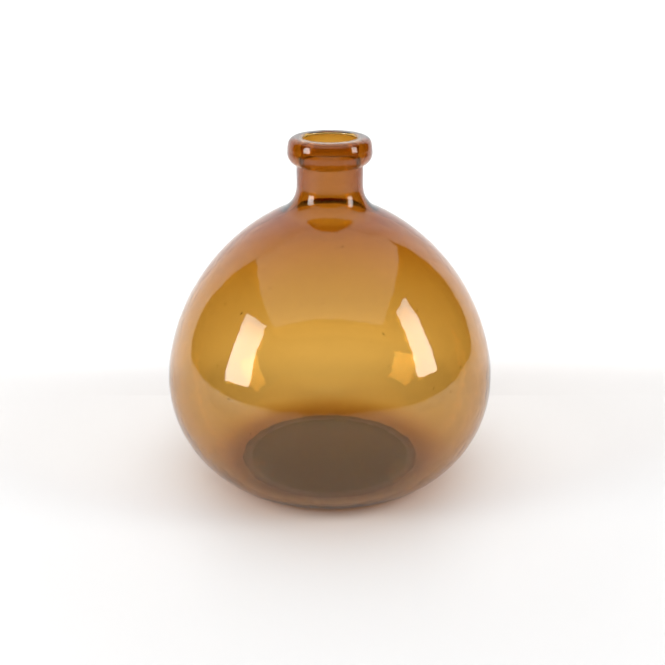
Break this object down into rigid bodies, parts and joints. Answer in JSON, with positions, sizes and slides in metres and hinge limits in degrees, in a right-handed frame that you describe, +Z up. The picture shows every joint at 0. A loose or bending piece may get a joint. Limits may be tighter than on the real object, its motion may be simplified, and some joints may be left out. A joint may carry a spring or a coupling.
{
  "type": "gourd vase",
  "caption": "Squat round bottle vase of clear amber glass with a short narrow neck and a thick rolled lip; holds water and stems.",
  "frame": {"origin": "centre of the foot, on the surface that the vase stands on", "axes": "+Z up the vase's axis, out of its mouth; the vase is round, so +X and +Y are free, and +Y is away from the viewer of the picture"},
  "size_m": [0.19, 0.19, 0.198],
  "materials": {
    "amber_glass_wall": "clear amber blown glass, fire polished, with a few seeds and a faint waviness",
    "amber_glass_lip": "the same clear amber glass, darker where the collar is thick"
  },
  "bodies": {
    "root": {"blown_body": "amber_glass_wall", "lip_ring": "amber_glass_lip"}
  },
  "joints": []
}
